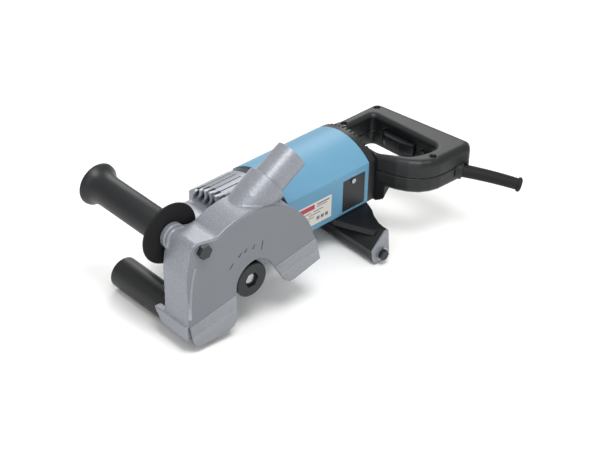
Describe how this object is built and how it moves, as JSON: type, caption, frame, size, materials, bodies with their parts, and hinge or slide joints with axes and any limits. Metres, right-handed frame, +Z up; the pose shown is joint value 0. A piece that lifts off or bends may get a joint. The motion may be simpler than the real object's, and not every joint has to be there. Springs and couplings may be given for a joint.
{
  "type": "wall chaser",
  "caption": "Electric wall chaser with cast wheel guard, dust nozzle, side handle, depth rollers and loop switch handle; no cutting wheels fitted.",
  "frame": {"origin": "middle of the bounding box at ground level, where both rollers stand", "axes": "+X rearwards along the tool, +Z up; the wheel guard's cover faces -Y"},
  "size_m": [0.564, 0.2496, 0.2248],
  "materials": {
    "teal_nylon": "moulded satin",
    "black_nylon": "moulded satin",
    "cast_aluminium": "hammered silver paint on casting",
    "satin_cover": "smooth satin grey",
    "rubber": "matt",
    "enamelled_copper": "enamelled wire",
    "brass": "drawn",
    "carbon": "pressed carbon",
    "switch_plastic": "moulded",
    "capacitor_film": "dipped film",
    "printed_plate": "printed film",
    "blackened_steel": "black oxide",
    "steel": "machined"
  },
  "bodies": {
    "root": {"baffle_ring": "black_nylon", "brush_cover_far": "black_nylon", "brush_cover_near": "black_nylon", "brush_cover_screw_far": "steel", "brush_cover_screw_near": "steel", "brush_holder_far": "brass", "brush_holder_near": "brass", "brush_spring_far": "steel", "brush_spring_near": "steel", "carbon_brush_far": "carbon", "carbon_brush_near": "carbon", "cord_sleeve": "rubber", "field_coil_front": "enamelled_copper", "field_coil_rear": "enamelled_copper", "front_armature_bearing": "steel", "gear_housing": "cast_aluminium", "handle_lower_half": "black_nylon", "handle_screw_1": "steel", "handle_screw_2": "steel", "handle_screw_3": "steel", "handle_upper_half": "black_nylon", "interference_capacitor": "capacitor_film", "motor_housing": "teal_nylon", "rating_plate": "printed_plate", "rear_armature_bearing": "steel", "rear_axle_bolt": "blackened_steel", "rear_axle_washer": "steel", "rear_foot": "black_nylon", "rear_foot_end_plate": "steel", "spindle_ball_bearing": "steel", "spindle_needle_bearing": "steel", "stator_core": "steel", "switch_body": "switch_plastic", "vent_ring": "black_nylon"},
    "armature": {"armature_shaft": "steel", "armature_core": "steel", "armature_winding_front": "enamelled_copper", "armature_winding_rear": "enamelled_copper", "commutator": "enamelled_copper", "cooling_fan": "black_nylon", "bevel_pinion": "blackened_steel"},
    "spindle": {"spindle": "steel", "inner_flange": "blackened_steel", "wheel_spacer": "steel", "outer_flange_nut": "blackened_steel", "bevel_wheel": "blackened_steel"},
    "guard": {"guard_body": "cast_aluminium", "guard_cover": "satin_cover", "guard_cover_bolt": "blackened_steel", "dust_nozzle": "cast_aluminium", "side_handle_stud": "blackened_steel", "hand_guard_disc": "rubber", "side_handle_grip": "black_nylon", "front_roller_axle": "steel"},
    "front_roller": {"front_roller": "black_nylon"},
    "rear_roller": {"rear_roller": "black_nylon"},
    "trigger": {"trigger": "black_nylon"},
    "lock_button": {"lock_button": "black_nylon"}
  },
  "joints": [
    {"name": "guard_swing", "type": "hinge", "parent": "root", "child": "guard", "pos_m": [-0.14815, 0.05226, 0.06823], "axis": [0, 1, 0], "range_deg": [0, 25]},
    {"name": "armature_spin", "type": "hinge", "parent": "root", "child": "armature", "pos_m": [-0.14815, 0.05846, 0.06823], "axis": [0.9953, 0, 0.0967], "continuous": true},
    {"name": "spindle_spin", "type": "hinge", "parent": "root", "child": "spindle", "pos_m": [-0.14815, 0.05846, 0.06823], "axis": [0, 1, 0], "continuous": true},
    {"name": "front_roller_spin", "type": "hinge", "parent": "guard", "child": "front_roller", "pos_m": [-0.21585, 0.05226, 0.02046], "axis": [0, 1, 0], "continuous": true},
    {"name": "rear_roller_spin", "type": "hinge", "parent": "root", "child": "rear_roller", "pos_m": [0.08966, 0.05226, 0.01446], "axis": [0, 1, 0], "continuous": true},
    {"name": "trigger_pull", "type": "hinge", "parent": "root", "child": "trigger", "pos_m": [0.20281, 0.00826, 0.10633], "axis": [0.0967, 0, -0.9953], "range_deg": [0, 7], "stiffness_Nm_per_rad": 2, "springref_deg": -5.73},
    {"name": "lock_button_press", "type": "slide", "parent": "root", "child": "lock_button", "axis": [0.9953, 0, 0.0967], "range_m": [0, 0.004], "stiffness_N_per_m": 600, "springref_m": -0.002}
  ],
  "couplings": [
    {"joint": "spindle_spin", "follows": "armature_spin", "ratio": 0.33333}
  ]
}
